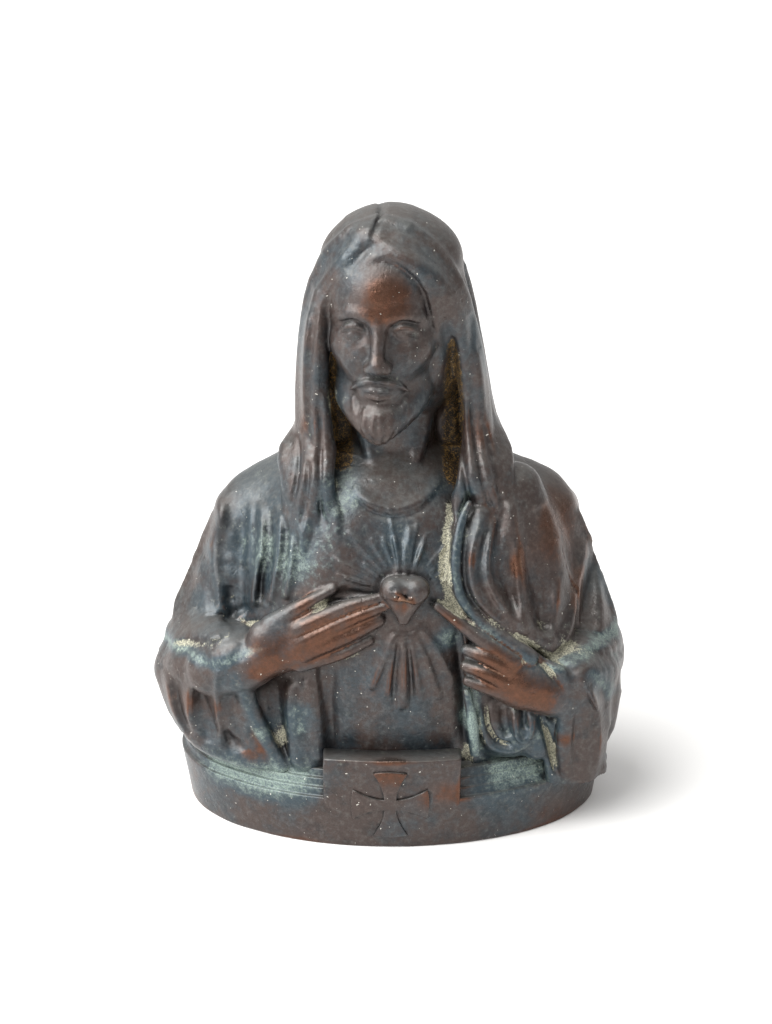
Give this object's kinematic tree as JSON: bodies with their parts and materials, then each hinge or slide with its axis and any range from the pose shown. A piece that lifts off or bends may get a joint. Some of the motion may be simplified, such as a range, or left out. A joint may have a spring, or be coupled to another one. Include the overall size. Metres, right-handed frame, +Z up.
{
  "type": "sacred heart bust statuette",
  "caption": "Half-length cast bust of a long-haired robed figure with a heart on the chest and hands raised to it, on an oval base with a raised panel and a small cross.",
  "frame": {"origin": "middle of the base's underside", "axes": "+Z up, the figure faces -Y, +X to the viewer's right"},
  "size_m": [0.1411, 0.0908, 0.1865],
  "materials": {
    "bronze": "dark brown to blue-grey bronze patina with a satin sheen, worn red-brown on the high spots, pale green and cream deposits in the creases"
  },
  "bodies": {
    "root": {"sacred_heart_bust": "bronze"}
  },
  "joints": []
}
